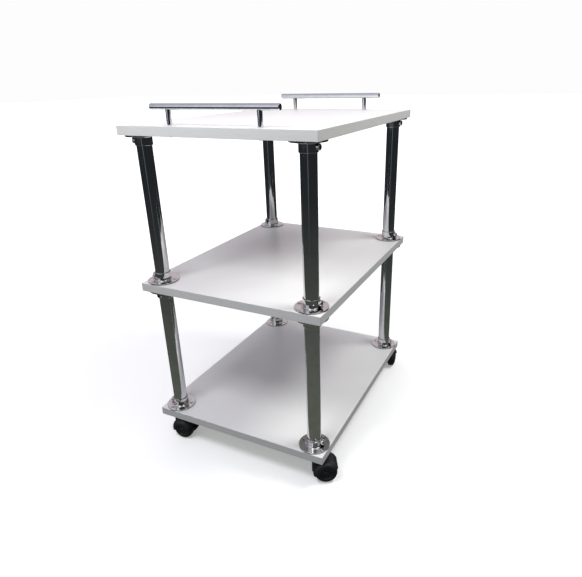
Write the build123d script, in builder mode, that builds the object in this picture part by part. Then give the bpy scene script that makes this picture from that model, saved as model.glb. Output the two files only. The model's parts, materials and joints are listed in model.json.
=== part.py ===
from build123d import *
import os
from math import cos, radians, sin

# Spa trolley: three white edge-banded boards stacked on chrome tube posts, a rail
# handle at the front and rear of the top board, and four twin-wheel swivel casters.
# Millimetres. The origin is on the floor under the middle of the boards, +Z is up,
# -Y is the front and +X is the right-hand side.

# ---- boards ----
BOARD_WIDTH = 350.0
BOARD_DEPTH = 450.0
BOARD_THICKNESS = 15.0
BOARD_PITCH = 267.0
EDGING_THICKNESS = 1.0
EDGING_ROUNDING = 0.4
EDGING_CORNER = 0.8
EDGING_JOINT = 0.05

# ---- tube posts and their flanges ----
POST_INSET = 27.5
POST_RADIUS = 12.5
POST_WALL = 1.2
FLANGE_RADIUS = 27.5
FLANGE_THICKNESS = 2.6
FLANGE_HEIGHT = 17.0
FLANGE_FLOOR = 2.0
FLANGE_HOLE_RADIUS = 9.5
COLLAR_RADIUS = 14.2
SOCKET_CLEARANCE = 0.05
DISC_ROUNDING = 0.5
COLLAR_SWEEP = 2.8
COLLAR_ROUNDING = 0.6
BOSS_RADIUS = 5.0
BOSS_HEIGHT = 9.5
BOSS_REACH = 18.5
BOSS_ROUNDING = 1.8
SET_SCREW_RADIUS = 2.5
SET_SCREW_LENGTH = 5.2
SET_SCREW_SOCKET = 2.5
SET_SCREW_CHAMFER = 0.3
FLANGE_SCREW_COUNT = 3
FLANGE_SCREW_CIRCLE = 21.0
FLANGE_SCREW_START = 60.0
FLANGE_SCREW_DEPTH = 7.5

# ---- countersunk and pan-head screws ----
SINK_RADIUS = 4.0
SINK_ANGLE = 90.0
SINK_GAP = 0.15
SCREW_RADIUS = 1.75
SCREW_HOLE_RADIUS = 2.2
SCREW_POINT = 2.5
SCREW_CHAMFER = 0.6
CROSS_LENGTH = 4.2
CROSS_WIDTH = 0.9
CROSS_DEPTH = 1.2
CROSS_TAPER = 8.0
PAN_RADIUS = 3.6
PAN_HEIGHT = 2.2
PAN_ROUNDING = 1.2

# ---- rail handles ----
BAR_RADIUS = 5.0
BAR_LENGTH = 225.0
BAR_CHAMFER = 0.6
BAR_RISE = 27.0
BAR_INSET = 16.0
RAIL_POST_RADIUS = 4.0
RAIL_POST_SPACING = 160.0
RAIL_SCREW_RADIUS = 2.0
RAIL_SCREW_HOLE_RADIUS = 2.25
RAIL_SCREW_ENGAGEMENT = 9.0
RAIL_BORE_DEPTH = 12.0

# ---- casters ----
CASTER_HEIGHT = 52.0
CASTER_INSET = 21.5
CASTER_TRAIL = 16.5
PLATE_SIDE = 38.0
PLATE_THICKNESS = 2.0
PLATE_CORNER = 4.0
PLATE_HOLE_SPACING = 28.0
PLATE_SCREW_DEPTH = 7.0
WHEEL_RADIUS = 20.0
WHEEL_INNER = 5.5
WHEEL_OUTER = 19.0
WHEEL_SHOULDER = 7.5
WHEEL_TREAD_ROUNDING = 0.8
WHEEL_HUB_RADIUS = 7.0
WHEEL_RIM_RADIUS = 15.5
WHEEL_POCKET = 13.0
WHEEL_DISH_RADIUS = 10.5
WHEEL_DISH_DEPTH = 1.2
WHEEL_CAP_RADIUS = 5.0
WHEEL_CAP_RISE = 0.8
AXLE_RADIUS = 2.5
AXLE_HALF_LENGTH = 17.0
AXLE_CLEARANCE = 0.05
AXLE_SEAT_CLEARANCE = 0.02
AXLE_END_GAP = 0.3
AXLE_CHAMFER = 0.4
WEB_HALF_THICKNESS = 5.0
WEB_HUB_RADIUS = 9.0
HOOD_RADIUS = 23.2
HOOD_HALF_WIDTH = 21.0
HOOD_SHOULDER = 9.0
CAVITY_RADIUS = 21.0
CAVITY_HALF_WIDTH = 19.8
CAVITY_SHOULDER = 8.0
HOOD_WINDOW_RADIUS = 13.0
SKIRT_FRONT_HEIGHT = 16.0
SKIRT_REAR_HEIGHT = 30.0
SWIVEL_BOSS_RADIUS = 8.0
SWIVEL_BOSS_ROUNDING = 1.0
SWIVEL_GAP = 0.4
KINGPIN_RADIUS = 3.5
KINGPIN_NECK_RADIUS = 3.0
KINGPIN_COLLAR_RADIUS = 6.0
KINGPIN_COLLAR_HEIGHT = 1.0
KINGPIN_LENGTH = 20.5
KINGPIN_CLEARANCE = 0.05
KINGPIN_END_GAP = 0.6
KINGPIN_CHAMFER = 0.8

# ---- placing ----
CORNERS = {
    "front_left": (-1, -1),
    "front_right": (1, -1),
    "rear_right": (1, 1),
    "rear_left": (-1, 1),
}
# Direction, in degrees from +X, that each wheel pair trails behind its swivel.
CASTER_HEADING = {
    "front_left": 5.0,
    "front_right": 30.0,
    "rear_right": 95.0,
    "rear_left": 180.0,
}
# Direction, in degrees from +X, that each flange's set screw faces.
UPRIGHT_FLANGE_HEADING = {
    "front_left": 197.0,
    "front_right": 0.0,
    "rear_right": 0.0,
    "rear_left": 180.0,
}
MIDDLE_HUNG_FLANGE_HEADING = {
    "front_left": 270.0,
    "front_right": 60.0,
    "rear_right": 300.0,
    "rear_left": 240.0,
}
UP = Vector(0, 0, 1)

BOTTOM_BOARD_BASE = CASTER_HEIGHT
MIDDLE_BOARD_BASE = BOTTOM_BOARD_BASE + BOARD_PITCH
TOP_BOARD_BASE = MIDDLE_BOARD_BASE + BOARD_PITCH
TOP_SURFACE = TOP_BOARD_BASE + BOARD_THICKNESS
SOCKET_RADIUS = POST_RADIUS + SOCKET_CLEARANCE
POST_LENGTH = BOARD_PITCH - BOARD_THICKNESS - 2 * FLANGE_FLOOR


def save(piece, node):
    """Label a finished sub-part and write its STEP file."""
    piece.part.label = node
    export_step(piece.part, f"parts/{node}.step")


def direction(angle):
    """Horizontal unit vector at an angle, in degrees, from +X."""
    return Vector(cos(radians(angle)), sin(radians(angle)), 0)


def corner_point(corner, inset, height):
    """Point at a height, in from both edges of the boards at one corner."""
    side, end = CORNERS[corner]
    return Vector(side * (BOARD_WIDTH / 2 - inset), end * (BOARD_DEPTH / 2 - inset), height)


def standing(base):
    """Plane through a base plane's X and Z axes, for profiles turned about its Z axis."""
    return Plane(origin=base.origin, x_dir=base.x_dir, z_dir=base.y_dir * -1)


def flange_base(corner, board_face, outward, heading):
    """Plane on a board's face: Z points off the board and X at the set screw."""
    return Plane(
        origin=corner_point(corner, POST_INSET, board_face),
        x_dir=direction(heading),
        z_dir=UP * outward,
    )


def flange_screw_seats(base):
    """Planes on the board's face at one flange's screws."""
    step = 360 / FLANGE_SCREW_COUNT
    seats = []
    for index in range(FLANGE_SCREW_COUNT):
        angle = radians(FLANGE_SCREW_START + index * step)
        offset = base.x_dir * cos(angle) + base.y_dir * sin(angle)
        seats.append(Plane(base.origin + offset * FLANGE_SCREW_CIRCLE, offset, base.z_dir))
    return seats


def caster_seat(corner):
    """Plane under the bottom board on one caster's swivel axis, Z pointing down."""
    return Plane(corner_point(corner, CASTER_INSET, CASTER_HEIGHT), x_dir=(1, 0, 0), z_dir=UP * -1)


def caster_screw_seats(corner):
    """Planes on the board's underside at one caster's plate screws."""
    seat = caster_seat(corner)
    half = PLATE_HOLE_SPACING / 2
    return [
        Plane(seat.origin + Vector(x, y, 0), seat.x_dir, seat.z_dir)
        for x in (-half, half)
        for y in (-half, half)
    ]


def rail_post_points(end):
    """Feet of one handle's two posts on the top board; end is -1 at the front, 1 at the rear."""
    y = end * (BOARD_DEPTH / 2 - BAR_INSET)
    return [Vector(side * RAIL_POST_SPACING / 2, y, TOP_SURFACE) for side in (-1, 1)]


def screw(shank_radius, head_top, tip_depth, point):
    """Countersunk Phillips screw standing in the XY plane, its board face at Z = 0."""
    head_radius = SINK_RADIUS - SINK_GAP
    neck = head_top - (head_radius - shank_radius)
    with BuildPart() as piece:
        with BuildSketch(Plane.XZ):
            with BuildLine():
                Polyline(
                    (0, head_top),
                    (head_radius, head_top),
                    (shank_radius, neck),
                    (shank_radius, point - tip_depth),
                    (0, -tip_depth),
                    close=True,
                )
            make_face()
        revolve(axis=Axis.Z)
        with BuildSketch(Plane.XY.offset(head_top)):
            Rectangle(CROSS_LENGTH, CROSS_WIDTH)
            Rectangle(CROSS_WIDTH, CROSS_LENGTH)
        extrude(amount=-CROSS_DEPTH, taper=CROSS_TAPER, mode=Mode.SUBTRACT)
    return piece


def pan_screw(shank_radius, head_seat, tip_depth, point):
    """Pan-head Phillips screw; its head stands on Z = head_seat and its tip is at -tip_depth."""
    crown = head_seat + PAN_HEIGHT
    with BuildPart() as piece:
        with BuildSketch(Plane.XZ):
            with BuildLine():
                rounded = FilletPolyline(
                    (0, crown),
                    (PAN_RADIUS, crown),
                    (PAN_RADIUS, head_seat),
                    (shank_radius, head_seat),
                    radius=[PAN_ROUNDING, 0],
                )
                Polyline(
                    rounded @ 1,
                    (shank_radius, point - tip_depth),
                    (shank_radius - point, -tip_depth),
                    (0, -tip_depth),
                    rounded @ 0,
                )
            make_face()
        revolve(axis=Axis.Z)
        with BuildSketch(Plane.XY.offset(crown)):
            Rectangle(CROSS_LENGTH, CROSS_WIDTH)
            Rectangle(CROSS_WIDTH, CROSS_LENGTH)
        extrude(amount=-CROSS_DEPTH, taper=CROSS_TAPER, mode=Mode.SUBTRACT)
    return piece


def board(base_height, pilot_seats, through_points):
    """Board core with blind pilot holes at its screws and through holes for handle screws."""
    with BuildPart() as piece:
        with BuildSketch(Plane.XY.offset(base_height)):
            Rectangle(BOARD_WIDTH - 2 * EDGING_THICKNESS, BOARD_DEPTH - 2 * EDGING_THICKNESS)
        extrude(amount=BOARD_THICKNESS)
        with Locations(*pilot_seats):
            Hole(SCREW_RADIUS, depth=FLANGE_SCREW_DEPTH)
        if through_points:
            with Locations(*through_points):
                Hole(RAIL_SCREW_HOLE_RADIUS, depth=BOARD_THICKNESS)
    return piece


def edging(base_height):
    """Four separate edge-band strips round one board, with eased corners and edges."""
    inner_width = BOARD_WIDTH - 2 * EDGING_THICKNESS
    inner_depth = BOARD_DEPTH - 2 * EDGING_THICKNESS
    with BuildPart() as piece:
        with BuildSketch(Plane.XY.offset(base_height)):
            with GridLocations(0, inner_depth + EDGING_THICKNESS, 1, 2):
                Rectangle(BOARD_WIDTH, EDGING_THICKNESS)
            rows = vertices().group_by(Axis.Y)
            fillet(rows[0] + rows[-1], EDGING_CORNER)
            with GridLocations(inner_width + EDGING_THICKNESS, 0, 2, 1):
                Rectangle(EDGING_THICKNESS, inner_depth - 2 * EDGING_JOINT)
        extrude(amount=BOARD_THICKNESS)
        front_to_rear = edges().filter_by(Axis.X).group_by(Axis.Y)
        left_to_right = edges().filter_by(Axis.Y).group_by(Axis.X)
        fillet(
            front_to_rear[0] + front_to_rear[-1] + left_to_right[0] + left_to_right[-1],
            EDGING_ROUNDING,
        )
    return piece


def post(corner, board_top):
    """Chrome tube standing in the flanges between two boards."""
    foot = Plane(corner_point(corner, POST_INSET, board_top + FLANGE_FLOOR))
    with BuildPart() as piece:
        with BuildSketch(foot):
            Circle(POST_RADIUS)
            Circle(POST_RADIUS - POST_WALL, mode=Mode.SUBTRACT)
        extrude(amount=POST_LENGTH)
    return piece


def flange(base):
    """Post flange: disc, swept collar with a socket for the tube, and set-screw boss."""
    boss_line = Plane(base.origin + base.z_dir * BOSS_HEIGHT, x_dir=base.y_dir, z_dir=base.x_dir)
    with BuildPart(base.offset(FLANGE_THICKNESS)) as piece:
        with BuildSketch(boss_line):
            Circle(BOSS_RADIUS)
        extrude(amount=BOSS_REACH)
        boss_end = edges().filter_by(GeomType.CIRCLE).sort_by(Axis(base.origin, base.x_dir))[-1]
        fillet(boss_end, BOSS_ROUNDING)
        with BuildSketch(standing(base)):
            with BuildLine():
                FilletPolyline(
                    (FLANGE_HOLE_RADIUS, 0),
                    (FLANGE_RADIUS, 0),
                    (FLANGE_RADIUS, FLANGE_THICKNESS),
                    (COLLAR_RADIUS, FLANGE_THICKNESS),
                    (COLLAR_RADIUS, FLANGE_HEIGHT),
                    (FLANGE_HOLE_RADIUS, FLANGE_HEIGHT),
                    radius=[0, 0, DISC_ROUNDING, COLLAR_SWEEP, COLLAR_ROUNDING, 0],
                    close=True,
                )
            make_face()
        revolve(axis=Axis(base.origin, base.z_dir))
        with BuildSketch(base.offset(FLANGE_FLOOR)):
            Circle(SOCKET_RADIUS)
        extrude(amount=FLANGE_HEIGHT, mode=Mode.SUBTRACT)
        with BuildSketch(base):
            Circle(FLANGE_HOLE_RADIUS)
        extrude(amount=FLANGE_FLOOR, mode=Mode.SUBTRACT)
        with BuildSketch(boss_line):
            Circle(SET_SCREW_RADIUS)
        extrude(amount=BOSS_REACH, mode=Mode.SUBTRACT)
        with PolarLocations(FLANGE_SCREW_CIRCLE, FLANGE_SCREW_COUNT, FLANGE_SCREW_START):
            CounterSinkHole(SCREW_HOLE_RADIUS, SINK_RADIUS, FLANGE_THICKNESS, SINK_ANGLE)
    return piece


def set_screw():
    """Hexagon-socket grub screw lying along X, its tip at the origin."""
    with BuildPart() as piece:
        with BuildSketch(Plane.YZ):
            Circle(SET_SCREW_RADIUS)
        extrude(amount=SET_SCREW_LENGTH)
        chamfer(edges().filter_by(GeomType.CIRCLE), SET_SCREW_CHAMFER)
        with BuildSketch(Plane.YZ.offset(SET_SCREW_LENGTH)):
            RegularPolygon(SET_SCREW_SOCKET / 2, 6, major_radius=False)
        extrude(amount=-SET_SCREW_SOCKET, mode=Mode.SUBTRACT)
    return piece


def group(model, places):
    """Copies of one fastener, each a separate solid, at a list of planes."""
    with BuildPart() as piece:
        with Locations(*places):
            add(model.part)
    return piece


def rail_bar(end):
    """Round bar of one rail handle, lying along X."""
    y = end * (BOARD_DEPTH / 2 - BAR_INSET)
    axis_plane = Plane((-BAR_LENGTH / 2, y, TOP_SURFACE + BAR_RISE), x_dir=(0, 1, 0), z_dir=(1, 0, 0))
    with BuildPart() as piece:
        with BuildSketch(axis_plane):
            Circle(BAR_RADIUS)
        extrude(amount=BAR_LENGTH)
        chamfer(edges().filter_by(GeomType.CIRCLE), BAR_CHAMFER)
    return piece


def rail_posts(end):
    """Two posts of one rail handle, coped to the bar and bored for a screw from below."""
    with BuildPart() as piece:
        for foot in rail_post_points(end):
            with BuildSketch(Plane(foot)):
                Circle(RAIL_POST_RADIUS)
            extrude(amount=BAR_RISE)
            with BuildSketch(Plane(foot)):
                Circle(RAIL_SCREW_RADIUS)
            extrude(amount=RAIL_BORE_DEPTH, mode=Mode.SUBTRACT)
            with BuildSketch(Plane(foot + UP * BAR_RISE, x_dir=(0, 1, 0), z_dir=(1, 0, 0))):
                Circle(BAR_RADIUS)
            extrude(amount=BAR_LENGTH, both=True, mode=Mode.SUBTRACT)
    return piece


def caster_plate(corner):
    """Square top plate of a caster, with four screw holes and the kingpin hole."""
    seat = caster_seat(corner)
    with BuildPart(seat) as piece:
        with BuildSketch(seat):
            RectangleRounded(PLATE_SIDE, PLATE_SIDE, PLATE_CORNER)
            Circle(KINGPIN_NECK_RADIUS, mode=Mode.SUBTRACT)
            with GridLocations(PLATE_HOLE_SPACING, PLATE_HOLE_SPACING, 2, 2):
                Circle(SCREW_HOLE_RADIUS, mode=Mode.SUBTRACT)
        extrude(amount=PLATE_THICKNESS)
    return piece


def kingpin():
    """Swivel pin hanging along +Z from a board face at Z = 0: neck, thrust collar and pin."""
    with BuildPart() as piece:
        with BuildSketch(Plane.XY):
            Circle(KINGPIN_NECK_RADIUS)
        extrude(amount=PLATE_THICKNESS)
        with BuildSketch(Plane.XY.offset(PLATE_THICKNESS)):
            Circle(KINGPIN_COLLAR_RADIUS)
        extrude(amount=KINGPIN_COLLAR_HEIGHT)
        with BuildSketch(Plane.XY.offset(PLATE_THICKNESS + KINGPIN_COLLAR_HEIGHT)):
            Circle(KINGPIN_RADIUS)
        extrude(amount=KINGPIN_LENGTH)
        chamfer(edges().sort_by(Axis.Z)[-1], KINGPIN_CHAMFER)
    return piece


def trail_plane(corner):
    """Upright plane on a caster's swivel axis at floor level: X trails, Y is up."""
    forward = direction(CASTER_HEADING[corner])
    return Plane(corner_point(corner, CASTER_INSET, 0), x_dir=forward, z_dir=forward.cross(UP))


def axle_plane(corner):
    """Upright plane through a caster's axle: X lies along the axle, Y is up."""
    forward = direction(CASTER_HEADING[corner])
    centre = corner_point(corner, CASTER_INSET, WHEEL_RADIUS) + forward * CASTER_TRAIL
    return Plane(centre, x_dir=UP.cross(forward), z_dir=forward)


def caster_body(corner):
    """Moulded caster body: hood over both wheels, web on the axle and swivel boss."""
    side = trail_plane(corner)
    across = axle_plane(corner)
    axle_line = Axis(across.origin, across.x_dir)
    boss_top = CASTER_HEIGHT - PLATE_THICKNESS - KINGPIN_COLLAR_HEIGHT - SWIVEL_GAP
    pin_end = CASTER_HEIGHT - PLATE_THICKNESS - KINGPIN_COLLAR_HEIGHT - KINGPIN_LENGTH
    rear = CASTER_TRAIL + 2 * HOOD_RADIUS
    front = -2 * SWIVEL_BOSS_RADIUS
    slope = (SKIRT_REAR_HEIGHT - SKIRT_FRONT_HEIGHT) / (2 * HOOD_RADIUS)
    hood_front = CASTER_TRAIL - HOOD_RADIUS
    with BuildPart() as piece:
        with BuildSketch(across):
            with BuildLine():
                shell = FilletPolyline(
                    (-HOOD_HALF_WIDTH, 0),
                    (-HOOD_HALF_WIDTH, HOOD_RADIUS),
                    (HOOD_HALF_WIDTH, HOOD_RADIUS),
                    (HOOD_HALF_WIDTH, 0),
                    radius=HOOD_SHOULDER,
                )
                Line(shell @ 0, shell @ 1)
            make_face()
        revolve(axis=axle_line)
        with BuildSketch(Plane(side.origin)):
            Circle(SWIVEL_BOSS_RADIUS)
        extrude(amount=boss_top)
        fillet(edges().filter_by(GeomType.CIRCLE).sort_by(Axis.Z)[-1], SWIVEL_BOSS_ROUNDING)
        with BuildSketch(side):
            with BuildLine():
                Polyline(
                    (front, -HOOD_RADIUS),
                    (rear, -HOOD_RADIUS),
                    (rear, SKIRT_FRONT_HEIGHT + slope * (rear - hood_front)),
                    (front, SKIRT_FRONT_HEIGHT + slope * (front - hood_front)),
                    close=True,
                )
            make_face()
        extrude(amount=2 * HOOD_HALF_WIDTH, both=True, mode=Mode.SUBTRACT)
        for hand in (-1, 1):
            with BuildSketch(across):
                with BuildLine():
                    hollow = FilletPolyline(
                        (hand * WEB_HALF_THICKNESS, 0),
                        (hand * WEB_HALF_THICKNESS, CAVITY_RADIUS),
                        (hand * CAVITY_HALF_WIDTH, CAVITY_RADIUS),
                        (hand * CAVITY_HALF_WIDTH, HOOD_WINDOW_RADIUS),
                        (hand * 2 * HOOD_HALF_WIDTH, HOOD_WINDOW_RADIUS),
                        (hand * 2 * HOOD_HALF_WIDTH, 0),
                        radius=[0, CAVITY_SHOULDER, 0, 0],
                    )
                    Line(hollow @ 0, hollow @ 1)
                make_face()
            revolve(axis=axle_line, mode=Mode.SUBTRACT)
        with BuildSketch(Plane(across.origin, x_dir=across.z_dir, z_dir=across.x_dir)):
            Circle(WEB_HUB_RADIUS)
        extrude(amount=WEB_HALF_THICKNESS, both=True)
        with BuildSketch(Plane(across.origin, x_dir=across.z_dir, z_dir=across.x_dir)):
            Circle(AXLE_RADIUS + AXLE_SEAT_CLEARANCE)
        extrude(amount=HOOD_HALF_WIDTH, both=True, mode=Mode.SUBTRACT)
        with BuildSketch(Plane(side.origin + UP * (pin_end - KINGPIN_END_GAP))):
            Circle(KINGPIN_RADIUS + KINGPIN_CLEARANCE)
        extrude(amount=CASTER_HEIGHT, mode=Mode.SUBTRACT)
    return piece


def caster_axle(corner):
    """Steel axle pin fixed in the caster body's web."""
    across = axle_plane(corner)
    with BuildPart() as piece:
        with BuildSketch(Plane(across.origin, x_dir=across.z_dir, z_dir=across.x_dir)):
            Circle(AXLE_RADIUS)
        extrude(amount=AXLE_HALF_LENGTH, both=True)
        chamfer(edges().filter_by(GeomType.CIRCLE), AXLE_CHAMFER)
    return piece


def caster_wheel(corner, hand):
    """One wheel of the pair: domed tread shoulder, dished face with hub cap, blind bore."""
    across = axle_plane(corner)
    bore_radius = AXLE_RADIUS + AXLE_CLEARANCE
    bore_end = AXLE_HALF_LENGTH + AXLE_END_GAP
    dish = WHEEL_OUTER - WHEEL_DISH_DEPTH
    with BuildPart() as piece:
        with BuildSketch(across):
            with BuildLine():
                FilletPolyline(
                    (hand * WHEEL_INNER, bore_radius),
                    (hand * WHEEL_INNER, WHEEL_HUB_RADIUS),
                    (hand * WHEEL_POCKET, WHEEL_HUB_RADIUS),
                    (hand * WHEEL_POCKET, WHEEL_RIM_RADIUS),
                    (hand * WHEEL_INNER, WHEEL_RIM_RADIUS),
                    (hand * WHEEL_INNER, WHEEL_RADIUS),
                    (hand * WHEEL_OUTER, WHEEL_RADIUS),
                    (hand * WHEEL_OUTER, WHEEL_DISH_RADIUS),
                    (hand * dish, WHEEL_DISH_RADIUS - WHEEL_DISH_DEPTH),
                    (hand * dish, WHEEL_CAP_RADIUS),
                    (hand * (dish + WHEEL_CAP_RISE), WHEEL_CAP_RADIUS - WHEEL_CAP_RISE),
                    (hand * (dish + WHEEL_CAP_RISE), 0),
                    (hand * bore_end, 0),
                    (hand * bore_end, bore_radius),
                    radius=[0, 0, 0, 0, 0, WHEEL_TREAD_ROUNDING, WHEEL_SHOULDER, 0, 0, 0, 0, 0, 0, 0],
                    close=True,
                )
            make_face()
        revolve(axis=Axis(across.origin, across.x_dir))
    return piece


os.makedirs("parts", exist_ok=True)

levels = {
    "lower": (BOTTOM_BOARD_BASE + BOARD_THICKNESS, MIDDLE_BOARD_BASE),
    "upper": (MIDDLE_BOARD_BASE + BOARD_THICKNESS, TOP_BOARD_BASE),
}
hung_heading = {"lower": MIDDLE_HUNG_FLANGE_HEADING, "upper": UPRIGHT_FLANGE_HEADING}

# ---- posts and flanges ----
flange_bases = {}
for level, (board_top, board_bottom) in levels.items():
    for corner in CORNERS:
        save(post(corner, board_top), f"{level}_post_{corner}")
        standing_base = flange_base(corner, board_top, 1, UPRIGHT_FLANGE_HEADING[corner])
        hanging_base = flange_base(corner, board_bottom, -1, hung_heading[level][corner])
        flange_bases[f"{level}_foot_flange_{corner}"] = standing_base
        flange_bases[f"{level}_head_flange_{corner}"] = hanging_base
for node, base in flange_bases.items():
    save(flange(base), node)

# ---- fasteners ----
flange_seats = [seat for base in flange_bases.values() for seat in flange_screw_seats(base)]
set_screw_seats = [
    Plane(
        base.origin + base.z_dir * BOSS_HEIGHT + base.x_dir * POST_RADIUS,
        x_dir=base.x_dir,
        z_dir=base.z_dir,
    )
    for base in flange_bases.values()
]
caster_seats = [seat for corner in CORNERS for seat in caster_screw_seats(corner)]
rail_points = rail_post_points(-1) + rail_post_points(1)
rail_seats = [
    Plane(Vector(point.X, point.Y, TOP_BOARD_BASE), x_dir=(1, 0, 0), z_dir=UP * -1)
    for point in rail_points
]
wood_screw = screw(SCREW_RADIUS, FLANGE_THICKNESS - SINK_GAP, FLANGE_SCREW_DEPTH, SCREW_POINT)
plate_screw = pan_screw(SCREW_RADIUS, PLATE_THICKNESS, PLATE_SCREW_DEPTH, SCREW_CHAMFER)
rail_screw = pan_screw(RAIL_SCREW_RADIUS, 0, BOARD_THICKNESS + RAIL_SCREW_ENGAGEMENT, SCREW_CHAMFER)
save(group(wood_screw, flange_seats), "flange_screws")
save(group(set_screw(), set_screw_seats), "set_screws")
save(group(plate_screw, caster_seats), "caster_plate_screws")
save(group(rail_screw, rail_seats), "rail_handle_screws")

# ---- boards ----
for name, base_height in (
    ("bottom", BOTTOM_BOARD_BASE),
    ("middle", MIDDLE_BOARD_BASE),
    ("top", TOP_BOARD_BASE),
):
    faces_used = (base_height, base_height + BOARD_THICKNESS)
    pilots = [seat for seat in flange_seats + caster_seats if seat.origin.Z in faces_used]
    rail_holes = rail_points if name == "top" else []
    save(board(base_height, pilots, rail_holes), f"{name}_board")
    save(edging(base_height), f"{name}_board_edging")

# ---- rail handles ----
for name, end in (("front", -1), ("rear", 1)):
    save(rail_bar(end), f"{name}_rail_bar")
    save(rail_posts(end), f"{name}_rail_posts")

# ---- casters ----
save(group(kingpin(), [caster_seat(corner) for corner in CORNERS]), "caster_kingpins")
for corner in CORNERS:
    save(caster_plate(corner), f"{corner}_caster_plate")
    save(caster_body(corner), f"{corner}_caster_body")
    save(caster_axle(corner), f"{corner}_caster_axle")
    save(caster_wheel(corner, 1), f"{corner}_caster_left_wheel")
    save(caster_wheel(corner, -1), f"{corner}_caster_right_wheel")
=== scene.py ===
import json
import math

import bpy
from mathutils import Matrix, Vector

# Looks of the spa trolley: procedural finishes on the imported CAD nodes, plus the floor,
# soft studio light and the camera. Everything is in metres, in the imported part's frame.

# ---- camera: metres and degrees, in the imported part's frame ----
CAMERA_PLACE = (0.4535, -0.8277, 0.6610)
CAMERA_AZIMUTH = 26.30
CAMERA_DROP = 23.03
CAMERA_ROLL = -1.29
CAMERA_LENS = 30.64
CAMERA_SENSOR = 36.0
CAMERA_SHIFT = (-0.0294, 0.0027)
CAMERA_NEAREST = 0.01

# ---- floor: its glow grows from under the trolley outwards ----
FLOOR_SIZE = 40.0
FLOOR_GLOW_REACH = (0.1, 2.2)
FLOOR_GLOW = (0.28, 0.97)

# ---- room: linear colours, bearings in degrees from +X, bands as cosines ----
SEEN_WHITE = (0.98, 0.98, 0.98)
GROUND_NEAR = (0.128, 0.138, 0.115)
GROUND_FAR = (0.021, 0.024, 0.027)
GROUND_BAND = (-0.66, -0.16)
STREAK_FACING = (-77, 0.9945, 0.9985)
STREAK_BAND = (-0.40, -0.05)
STREAK_COLOUR = (0.16, 0.165, 0.17)
WALL_COLOUR = (0.10, 0.10, 0.10)
WALL_PATCHES = (
    ((175, 0.2, 0.9), (0.36, 0.32, 0.36)),
    ((118, 0.5, 0.9), (0.64, 0.55, 0.58)),
    ((-128, 0.7, 0.95), (0.34, 0.35, 0.40)),
)
WALL_FOOT_BAND = (0.0, 0.10)
CEILING_COLOUR = (0.56, 0.565, 0.62)
CEILING_BAND = (0.40, 0.72)

# ---- what only reflections see: a dark camera side, a window and two lamps ----
DARK_SIDE_FACING = (-62, 0.50, 0.80)
DARK_SIDE_FOOT_BAND = (0.0, 0.05)
DARK_SIDE_HEAD_BAND = (0.60, 0.80)
DARK_SIDE_COLOUR = (0.040, 0.041, 0.046)
WINDOW_FACING = (-118, 0.90, 0.985)
WINDOW_SILL_BAND = (-0.09, -0.03)
WINDOW_HEAD_BAND = (0.55, 0.75)
WINDOW_COLOUR = (0.90, 0.92, 1.04)
LAMPS = ((-92, 51, 0.980, 0.988), (-14, 52, 0.984, 0.991))
LAMP_COLOUR = (4.0, 4.0, 4.0)

# ---- area lights: name, place, size, watts, colour ----
AREA_LIGHTS = (
    ("front_key", (-0.13, -0.66, 1.19), (0.50, 0.30), 6.2, (0.98, 0.99, 1.0)),
    ("right_key", (0.80, 0.25, 1.50), (0.60, 0.45), 12.0, (0.99, 1.0, 0.96)),
)
LIGHT_AIM = (0.0, 0.0, 0.35)

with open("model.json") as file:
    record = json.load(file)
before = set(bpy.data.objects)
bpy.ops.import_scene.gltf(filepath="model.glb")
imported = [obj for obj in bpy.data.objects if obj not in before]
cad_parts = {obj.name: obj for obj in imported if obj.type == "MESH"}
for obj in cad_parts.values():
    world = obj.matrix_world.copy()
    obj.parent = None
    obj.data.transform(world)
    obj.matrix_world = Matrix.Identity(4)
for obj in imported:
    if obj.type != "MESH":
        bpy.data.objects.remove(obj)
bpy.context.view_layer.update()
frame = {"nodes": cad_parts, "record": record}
nodes = frame["nodes"]


# ---- node-building helpers ----
MIX_COLOURS = slice(6, 8)
MIX_RESULT = 2
NOISE_ROUGHNESS = 0.5
UPWARD_BAND = (0.2, 0.9)
# ambient-occlusion band over which the painted crevice shade fades in
CREVICE_SHADE_BAND = (0.50, 0.92)
CREVICE_SAMPLES = 8


class Nodes:
    """A shader node tree, cleared, with short ways to add and join its nodes."""

    def __init__(self, tree):
        self.tree = tree
        self.tree.nodes.clear()

    def add(self, kind, **settings):
        node = self.tree.nodes.new(kind)
        for key, value in settings.items():
            setattr(node, key, value)
        return node

    def link(self, source, target):
        self.tree.links.new(source, target)

    def feed(self, socket, value):
        """Give a socket a number, an RGB triple or another node's output."""
        if isinstance(value, tuple):
            socket.default_value = (*value, 1.0)
        elif isinstance(value, (int, float)):
            socket.default_value = value
        else:
            self.link(value, socket)

    def remap(self, value, low, high, to_low=0.0, to_high=1.0):
        """Value taken smoothly from one range to another, clamped."""
        node = self.add("ShaderNodeMapRange", interpolation_type="SMOOTHSTEP")
        limits = {"From Min": low, "From Max": high, "To Min": to_low, "To Max": to_high}
        for socket, number in limits.items():
            node.inputs[socket].default_value = number
        self.link(value, node.inputs["Value"])
        return node.outputs["Result"]

    def maths(self, operation, first, second=0.0):
        """A maths node on one or two values, each a socket or a number."""
        node = self.add("ShaderNodeMath", operation=operation)
        for socket, value in zip(node.inputs, (first, second)):
            self.feed(socket, value)
        return node.outputs["Value"]

    def mix(self, share, first, second):
        """Colour between two colours, each a socket or an RGB triple."""
        node = self.add("ShaderNodeMix", data_type="RGBA")
        self.link(share, node.inputs["Factor"])
        for socket, value in zip(node.inputs[MIX_COLOURS], (first, second)):
            self.feed(socket, value)
        return node.outputs[MIX_RESULT]


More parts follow.
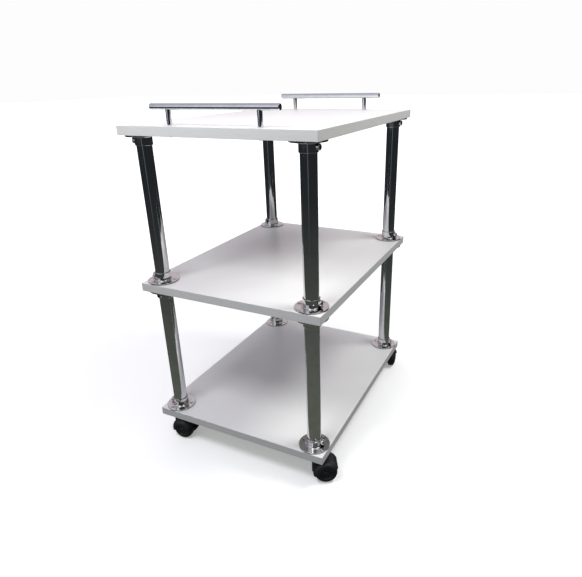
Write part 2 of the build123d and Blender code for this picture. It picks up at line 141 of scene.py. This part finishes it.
class Finish(Nodes):
    """A procedural material: one Principled shader and the texture nodes that feed it."""

    def __init__(self, name, **constants):
        self.material = bpy.data.materials.new(name)
        self.material.use_nodes = True
        super().__init__(self.material.node_tree)
        self.shader = self.add("ShaderNodeBsdfPrincipled")
        output = self.add("ShaderNodeOutputMaterial")
        self.link(self.shader.outputs["BSDF"], output.inputs["Surface"])
        self.place = self.add("ShaderNodeTexCoord").outputs["Object"]
        for socket, value in constants.items():
            self.shader.inputs[socket].default_value = value

    def stretched(self, stretch):
        """Object coordinates scaled along each axis."""
        mapping = self.add("ShaderNodeMapping")
        mapping.inputs["Scale"].default_value = stretch
        self.link(self.place, mapping.inputs["Vector"])
        return mapping.outputs["Vector"]

    def noise(self, per_metre, detail=3.0, stretch=(1, 1, 1), distortion=0.0):
        """Noise with so many features in a metre, times the stretch along each axis."""
        node = self.add("ShaderNodeTexNoise")
        node.inputs["Scale"].default_value = per_metre
        node.inputs["Detail"].default_value = detail
        node.inputs["Roughness"].default_value = NOISE_ROUGHNESS
        node.inputs["Distortion"].default_value = distortion
        self.link(self.stretched(stretch), node.inputs["Vector"])
        return node.outputs["Fac"]

    def cells(self, per_metre):
        """Voronoi cells, one random value in each."""
        node = self.add("ShaderNodeTexVoronoi")
        node.inputs["Scale"].default_value = per_metre
        self.link(self.place, node.inputs["Vector"])
        split = self.add("ShaderNodeSeparateColor")
        self.link(node.outputs["Color"], split.inputs["Color"])
        return split.outputs["Red"]

    def upward(self):
        """1 on faces that look up, 0 on walls and undersides."""
        geometry = self.add("ShaderNodeNewGeometry")
        split = self.add("ShaderNodeSeparateXYZ")
        self.link(geometry.outputs["Normal"], split.inputs["Vector"])
        return self.remap(split.outputs["Z"], *UPWARD_BAND)

    def crevice(self, reach):
        """1 deep in a crevice narrower than a reach in metres, 0 in the open: the
        ambient-occlusion mask for painted crevice shade.
        """
        node = self.add("ShaderNodeAmbientOcclusion", samples=CREVICE_SAMPLES)
        node.inputs["Distance"].default_value = reach
        return self.remap(node.outputs["AO"], *CREVICE_SHADE_BAND, to_low=1.0, to_high=0.0)

    def colour(self, socket):
        self.link(socket, self.shader.inputs["Base Color"])

    def roughness(self, socket):
        self.link(socket, self.shader.inputs["Roughness"])

    def bump(self, *layers):
        """Bump layers, each (height, strength, depth in metres), one over another."""
        under = None
        for height, strength, depth in layers:
            node = self.add("ShaderNodeBump")
            node.inputs["Strength"].default_value = strength
            node.inputs["Distance"].default_value = depth
            self.link(height, node.inputs["Height"])
            if under is not None:
                self.link(under, node.inputs["Normal"])
            under = node.outputs["Normal"]
        self.link(under, self.shader.inputs["Normal"])


# ---- finishes ----
def melamine():
    """White melamine board face: faint clouding, a fine pearl grain and a wiped sheen."""
    f = Finish("board_white", IOR=1.5)
    clouds = f.noise(7, detail=4)
    speck = f.noise(1400, detail=2)
    tone = f.mix(f.remap(clouds, 0.35, 0.65), (0.80, 0.79, 0.795), (0.825, 0.82, 0.815))
    f.colour(f.mix(f.remap(speck, 0.62, 0.75, 0.0, 0.35), tone, (0.74, 0.73, 0.725)))
    wiped = f.noise(9, detail=4, stretch=(1, 0.4, 1))
    f.roughness(f.remap(wiped, 0.25, 0.75, 0.29, 0.35))
    grain = f.noise(700, detail=3)
    f.bump((grain, 0.10, 0.0002))
    return f.material


def edge_band():
    """White edge band: fine streaks along its length and a slightly greyer tone."""
    f = Finish("board_edging", IOR=1.48)
    streaks = f.noise(60, detail=4, stretch=(1, 1, 16))
    nicks = f.noise(320, detail=2)
    tone = f.mix(f.remap(streaks, 0.3, 0.7), (0.80, 0.80, 0.795), (0.84, 0.84, 0.835))
    f.colour(f.mix(f.remap(nicks, 0.70, 0.78, 0.0, 0.5), tone, (0.66, 0.65, 0.63)))
    f.roughness(f.remap(streaks, 0.3, 0.7, 0.30, 0.42))
    f.bump((streaks, 0.12, 0.0002), (nicks, 0.10, 0.0001))
    return f.material


def drawn_chrome():
    """Chrome tube: bright plate with faint draw lines along the tube and wiped smudges."""
    f = Finish("post_chrome", Metallic=1.0)
    smudge = f.noise(35, detail=5, distortion=0.6)
    lines = f.noise(900, detail=2, stretch=(1, 1, 0.02))
    f.colour(f.mix(f.remap(smudge, 0.35, 0.7), (0.70, 0.71, 0.72), (0.63, 0.64, 0.645)))
    wiped = f.remap(smudge, 0.35, 0.75, 0.045, 0.11)
    f.roughness(f.maths("ADD", wiped, f.remap(lines, 0.55, 0.75, 0.0, 0.03)))
    f.bump((lines, 0.05, 0.00004))
    return f.material


def cast_chrome():
    """Chrome on a die casting: slight orange peel, finger smudges and painted shade that
    darkens its crevices.
    """
    f = Finish("flange_chrome", Metallic=1.0)
    peel = f.noise(420, detail=2)
    smudge = f.noise(90, detail=5, distortion=0.8)
    plate = f.mix(f.remap(smudge, 0.35, 0.7), (0.76, 0.755, 0.75), (0.66, 0.65, 0.65))
    # painted shade: the plate colour goes near black in crevices and contact corners, by
    # ambient occlusion
    f.colour(f.mix(f.crevice(0.005), plate, (0.07, 0.065, 0.06)))
    f.roughness(f.remap(smudge, 0.35, 0.75, 0.05, 0.14))
    f.bump((peel, 0.05, 0.0001))
    return f.material


def rail_chrome():
    """Polished rail: chrome with fine rub marks along the bar."""
    f = Finish("rail_chrome", Metallic=1.0)
    rub = f.noise(650, detail=3, stretch=(0.05, 1, 1))
    smudge = f.noise(60, detail=5, distortion=0.5)
    f.colour(f.mix(f.remap(smudge, 0.35, 0.7), (0.68, 0.69, 0.71), (0.60, 0.61, 0.635)))
    worn = f.remap(smudge, 0.35, 0.75, 0.07, 0.15)
    f.roughness(f.maths("ADD", worn, f.remap(rub, 0.5, 0.75, 0.0, 0.05)))
    f.bump((rub, 0.06, 0.00005))
    return f.material


def nickel_screw():
    """Nickel-plated screw: warm metal, driver-worn and slightly tarnished."""
    f = Finish("plated_screws", Metallic=1.0)
    tarnish = f.noise(500, detail=4)
    f.colour(f.mix(f.remap(tarnish, 0.35, 0.68), (0.66, 0.62, 0.55), (0.42, 0.36, 0.28)))
    f.roughness(f.remap(tarnish, 0.3, 0.7, 0.16, 0.36))
    f.bump((f.noise(2500, detail=2), 0.12, 0.00005))
    return f.material


def blackened_screw():
    """Black-oxide grub screw with an oily sheen and bright worn corners."""
    f = Finish("set_screw_steel", Metallic=1.0)
    wear = f.noise(1300, detail=3)
    f.colour(f.mix(f.remap(wear, 0.58, 0.72), (0.045, 0.045, 0.05), (0.20, 0.19, 0.18)))
    f.roughness(f.remap(wear, 0.3, 0.7, 0.28, 0.5))
    f.bump((wear, 0.15, 0.00005))
    return f.material


def zinc_steel():
    """Bright zinc plate: small spangle and faint rolling lines."""
    f = Finish("zinc_steel", Metallic=1.0)
    spangle = f.cells(260)
    lines = f.noise(500, detail=2, stretch=(0.06, 1, 1))
    f.colour(f.mix(f.remap(spangle, 0.0, 1.0), (0.50, 0.51, 0.53), (0.63, 0.64, 0.66)))
    rolled = f.remap(lines, 0.4, 0.7, 0.0, 0.06)
    f.roughness(f.maths("ADD", f.remap(spangle, 0.0, 1.0, 0.26, 0.38), rolled))
    f.bump((lines, 0.08, 0.00006))
    return f.material


def moulded_nylon():
    """Black moulded nylon hood: fine spark-eroded texture, settled dust on its top."""
    f = Finish("caster_nylon", IOR=1.53)
    texture = f.noise(1800, detail=2)
    patches = f.noise(55, detail=5)
    dust = f.maths("MULTIPLY", f.upward(), f.remap(patches, 0.40, 0.72, 0.02, 0.35))
    tone = f.mix(f.remap(patches, 0.3, 0.7), (0.009, 0.010, 0.012), (0.014, 0.015, 0.017))
    f.colour(f.mix(dust, tone, (0.040, 0.039, 0.038)))
    f.roughness(f.remap(patches, 0.3, 0.7, 0.42, 0.56))
    f.bump((texture, 0.22, 0.0001))
    return f.material


def wheel_nylon():
    """Black wheel: matt tread with fine scuffs and a little floor dust ground in."""
    f = Finish("caster_wheel", IOR=1.5)
    scuffs = f.noise(260, detail=5, stretch=(1, 1, 0.4), distortion=1.2)
    patches = f.noise(80, detail=4)
    tone = f.mix(f.remap(patches, 0.3, 0.7), (0.009, 0.009, 0.011), (0.015, 0.015, 0.017))
    f.colour(f.mix(f.remap(scuffs, 0.58, 0.74, 0.0, 0.6), tone, (0.045, 0.043, 0.040)))
    f.roughness(f.remap(scuffs, 0.35, 0.7, 0.45, 0.68))
    f.bump((scuffs, 0.18, 0.00012), (f.noise(1500, detail=2), 0.15, 0.00006))
    return f.material


finishes = {
    "board_white": melamine(),
    "board_edging": edge_band(),
    "post_chrome": drawn_chrome(),
    "flange_chrome": cast_chrome(),
    "rail_chrome": rail_chrome(),
    "plated_screws": nickel_screw(),
    "set_screw_steel": blackened_screw(),
    "zinc_steel": zinc_steel(),
    "caster_nylon": moulded_nylon(),
    "caster_wheel": wheel_nylon(),
}
for part in frame["record"]["subparts"]:
    slots = nodes[part["node"]].data.materials
    slots.clear()
    slots.append(finishes[part["material_slot"]])


# ---- floor, world and lights ----
def plain_floor():
    """Pale floor that only the camera sees; it takes the trolley's soft shadow."""
    f = Finish("floor_pale", IOR=1.45)
    cloud = f.noise(3, detail=3)
    f.colour(f.mix(f.remap(cloud, 0.3, 0.7), (0.90, 0.90, 0.90), (0.93, 0.93, 0.93)))
    f.roughness(f.remap(cloud, 0.3, 0.7, 0.75, 0.85))
    reach = f.add("ShaderNodeVectorMath", operation="LENGTH")
    f.link(f.place, reach.inputs[0])
    glow = f.remap(reach.outputs["Value"], *FLOOR_GLOW_REACH, *FLOOR_GLOW)
    f.link(glow, f.shader.inputs["Emission Strength"])
    f.shader.inputs["Emission Color"].default_value = (1.0, 1.0, 1.0, 1.0)
    bpy.ops.mesh.primitive_plane_add(size=FLOOR_SIZE, location=(0, 0, 0))
    floor = bpy.context.object
    floor.name = "floor"
    floor.data.materials.append(f.material)
    floor.visible_glossy = False
    floor.visible_diffuse = False


class Room(Nodes):
    """World shader whose colours depend on the direction that a ray leaves in."""

    def __init__(self, tree):
        super().__init__(tree)
        split = self.add("ShaderNodeSeparateXYZ")
        self.link(self.add("ShaderNodeTexCoord").outputs["Generated"], split.inputs["Vector"])
        self.x, self.y, self.z = split.outputs

    def along(self, angle, reach=1.0):
        """Level part of the direction along a bearing, times a reach."""
        a = math.radians(angle)
        east = self.maths("MULTIPLY", self.x, math.cos(a) * reach)
        north = self.maths("MULTIPLY", self.y, math.sin(a) * reach)
        return self.maths("ADD", east, north)

    def facing(self, angle, low, high):
        """How far a direction's bearing is within a band about an angle."""
        squares = (self.maths("MULTIPLY", side, side) for side in (self.x, self.y))
        level = self.maths("SQRT", self.maths("ADD", *squares))
        share = self.maths("DIVIDE", self.along(angle), self.maths("MAXIMUM", level, 0.001))
        return self.remap(share, low, high)

    def lamp(self, angle, height, low, high):
        """Round patch about a bearing and an angle above the horizon."""
        h = math.radians(height)
        rise = self.maths("MULTIPLY", self.z, math.sin(h))
        return self.remap(self.maths("ADD", self.along(angle, math.cos(h)), rise), low, high)

    def above(self, band):
        """1 above a band of heights, 0 below it."""
        return self.remap(self.z, *band)

    def patch(self, facing, foot, head):
        """Patch of wall about a bearing, between a foot band and a head band."""
        lower = self.maths("MULTIPLY", self.facing(*facing), self.above(foot))
        below = self.maths("SUBTRACT", 1.0, self.above(head))
        return self.maths("MULTIPLY", lower, below)


def world_light():
    """White to the camera; to the light and reflections, a dim room with a bright ceiling."""
    world = bpy.data.worlds.new("room")
    bpy.context.scene.world = world
    world.use_nodes = True
    room = Room(world.node_tree)

    lit = room.mix(room.above(GROUND_BAND), GROUND_NEAR, GROUND_FAR)
    streak = room.maths("MULTIPLY", room.facing(*STREAK_FACING), room.above(STREAK_BAND))
    lit = room.mix(streak, lit, STREAK_COLOUR)
    walls = WALL_COLOUR
    for facing, colour in WALL_PATCHES:
        walls = room.mix(room.facing(*facing), walls, colour)
    lit = room.mix(room.above(WALL_FOOT_BAND), lit, walls)
    lit = room.mix(room.above(CEILING_BAND), lit, CEILING_COLOUR)

    dark_side = room.patch(DARK_SIDE_FACING, DARK_SIDE_FOOT_BAND, DARK_SIDE_HEAD_BAND)
    mirrored = room.mix(dark_side, lit, DARK_SIDE_COLOUR)
    window = room.patch(WINDOW_FACING, WINDOW_SILL_BAND, WINDOW_HEAD_BAND)
    mirrored = room.mix(window, mirrored, WINDOW_COLOUR)
    for lamp in LAMPS:
        mirrored = room.mix(room.lamp(*lamp), mirrored, LAMP_COLOUR)

    rays = room.add("ShaderNodeLightPath")
    seen = room.mix(rays.outputs["Is Glossy Ray"], lit, mirrored)
    seen = room.mix(rays.outputs["Is Camera Ray"], seen, SEEN_WHITE)
    background = room.add("ShaderNodeBackground")
    room.link(seen, background.inputs["Color"])
    output = room.add("ShaderNodeOutputWorld")
    room.link(background.outputs["Background"], output.inputs["Surface"])


def area_light(name, place, size, watts, colour):
    """Soft rectangular light, seen by no reflection, turned to aim at the trolley."""
    data = bpy.data.lights.new(name, "AREA")
    data.shape = "RECTANGLE"
    data.size, data.size_y = size
    data.energy = watts
    data.color = colour
    light = bpy.data.objects.new(name, data)
    light.location = place
    light.visible_glossy = False
    light.rotation_mode = "QUATERNION"
    light.rotation_quaternion = (Vector(LIGHT_AIM) - Vector(place)).to_track_quat("-Z", "Y")
    bpy.context.scene.collection.objects.link(light)


def photo_camera():
    """Camera at the photograph's place and angle."""
    data = bpy.data.cameras.new("camera")
    data.sensor_width = CAMERA_SENSOR
    data.lens = CAMERA_LENS
    data.shift_x, data.shift_y = CAMERA_SHIFT
    data.clip_start = CAMERA_NEAREST
    camera = bpy.data.objects.new("camera", data)
    azimuth = math.radians(CAMERA_AZIMUTH)
    tilt = math.radians(90.0 - CAMERA_DROP)
    turn = Matrix.Rotation(azimuth, 4, "Z") @ Matrix.Rotation(tilt, 4, "X")
    turn = turn @ Matrix.Rotation(math.radians(CAMERA_ROLL), 4, "Z")
    camera.matrix_world = Matrix.Translation(CAMERA_PLACE) @ turn
    bpy.context.scene.collection.objects.link(camera)
    bpy.context.scene.camera = camera


plain_floor()
world_light()
for light in AREA_LIGHTS:
    area_light(*light)
photo_camera()
bpy.context.scene.view_settings.view_transform = "Standard"
